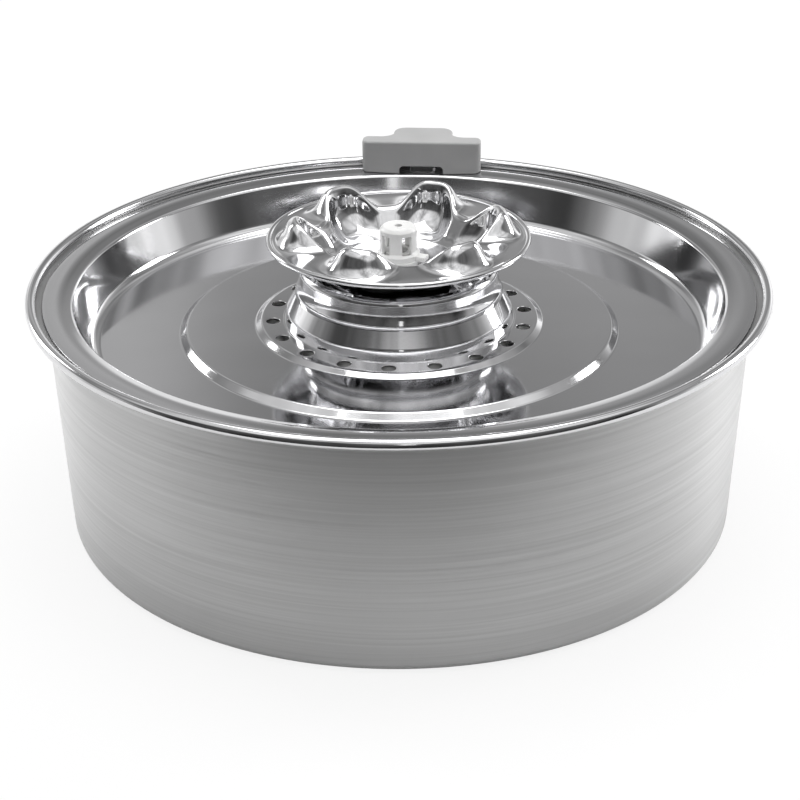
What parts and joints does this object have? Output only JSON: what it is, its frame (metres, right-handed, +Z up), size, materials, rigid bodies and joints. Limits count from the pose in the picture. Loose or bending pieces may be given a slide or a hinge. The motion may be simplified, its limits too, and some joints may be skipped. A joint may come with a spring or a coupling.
{
  "type": "pet water fountain",
  "caption": "Round steel pet water fountain: deep bowl with a lift-out drinking tray, a column with a lobed flower dish and nozzle, a pump and ring filter inside, and a cord clip.",
  "frame": {"origin": "centre of the flat underside of the bowl", "axes": "+Z up along the bowl's axis, +Y to the back, where the cord clip is, +X to the right seen from the front"},
  "size_m": [0.26, 0.2646, 0.1101],
  "materials": {
    "brushed_bowl": "satin, brushed round the wall",
    "polished_steel": "mirror polished",
    "grey_plastic": "fine matt grain",
    "white_plastic": "smooth moulded",
    "pump_plastic": "fine moulded grain",
    "black_rubber": "matt",
    "silicone": "satin, translucent",
    "core_steel": "laminated sheet",
    "copper_winding": "enamelled wire",
    "ceramic": "ground ceramic",
    "magnet": "sintered ferrite",
    "foam": "open-cell foam",
    "resin": "small beads",
    "carbon": "granules",
    "cotton": "non-woven"
  },
  "bodies": {
    "bowl": {"bowl": "brushed_bowl", "suction_cups": "black_rubber", "pump_housing": "pump_plastic", "pump_end_cap": "pump_plastic", "cord_gland": "black_rubber", "stator_core": "core_steel", "stator_coils": "copper_winding", "volute_cover": "pump_plastic", "volute_seal": "black_rubber", "rotor_shaft": "ceramic", "shaft_bushes": "black_rubber", "riser_coupling": "silicone", "riser_tube": "white_plastic"},
    "rotor": {"impeller": "white_plastic", "rotor_magnet": "magnet"},
    "flow_dial": {"flow_dial": "pump_plastic"},
    "intake": {"intake_cover": "pump_plastic", "intake_foam": "foam"},
    "tray": {"tray": "polished_steel", "column": "polished_steel", "filter_hanger": "white_plastic"},
    "filter": {"filter_basket": "white_plastic", "filter_case": "white_plastic", "filter_lid": "white_plastic", "resin_bed": "resin", "carbon_bed": "carbon", "cotton_pad": "cotton"},
    "flower": {"flower_dish": "polished_steel", "dish_gasket": "silicone", "nozzle_seat": "white_plastic", "tail_seal": "silicone", "seat_nut": "white_plastic"},
    "nozzle": {"nozzle": "white_plastic"},
    "clip": {"clip_housing": "grey_plastic", "clip_base": "grey_plastic"}
  },
  "joints": [
    {"name": "rotor_spin", "type": "hinge", "parent": "bowl", "child": "rotor", "pos_m": [0, 0, 0.0239], "axis": [0, 1, 0], "continuous": true},
    {"name": "dial_turn", "type": "hinge", "parent": "bowl", "child": "flow_dial", "pos_m": [0, -0.011, 0.0239], "axis": [0, 1, 0], "range_deg": [0, 150]},
    {"name": "intake_slide", "type": "slide", "parent": "bowl", "child": "intake", "axis": [0, -1, 0], "range_m": [0, 0.03]},
    {"name": "tray_lift", "type": "slide", "parent": "bowl", "child": "tray", "axis": [0, 0, 1], "range_m": [0, 0.06]},
    {"name": "basket_twist", "type": "hinge", "parent": "tray", "child": "filter", "pos_m": [0, 0, 0.06], "axis": [0, 0, 1], "range_deg": [0, 25]},
    {"name": "flower_lift", "type": "slide", "parent": "tray", "child": "flower", "axis": [0, 0, 1], "range_m": [0, 0.03]},
    {"name": "nozzle_lift", "type": "slide", "parent": "flower", "child": "nozzle", "axis": [0, 0, 1], "range_m": [0, 0.02]},
    {"name": "clip_lift", "type": "slide", "parent": "tray", "child": "clip", "axis": [0, 0, 1], "range_m": [0, 0.02]}
  ]
}
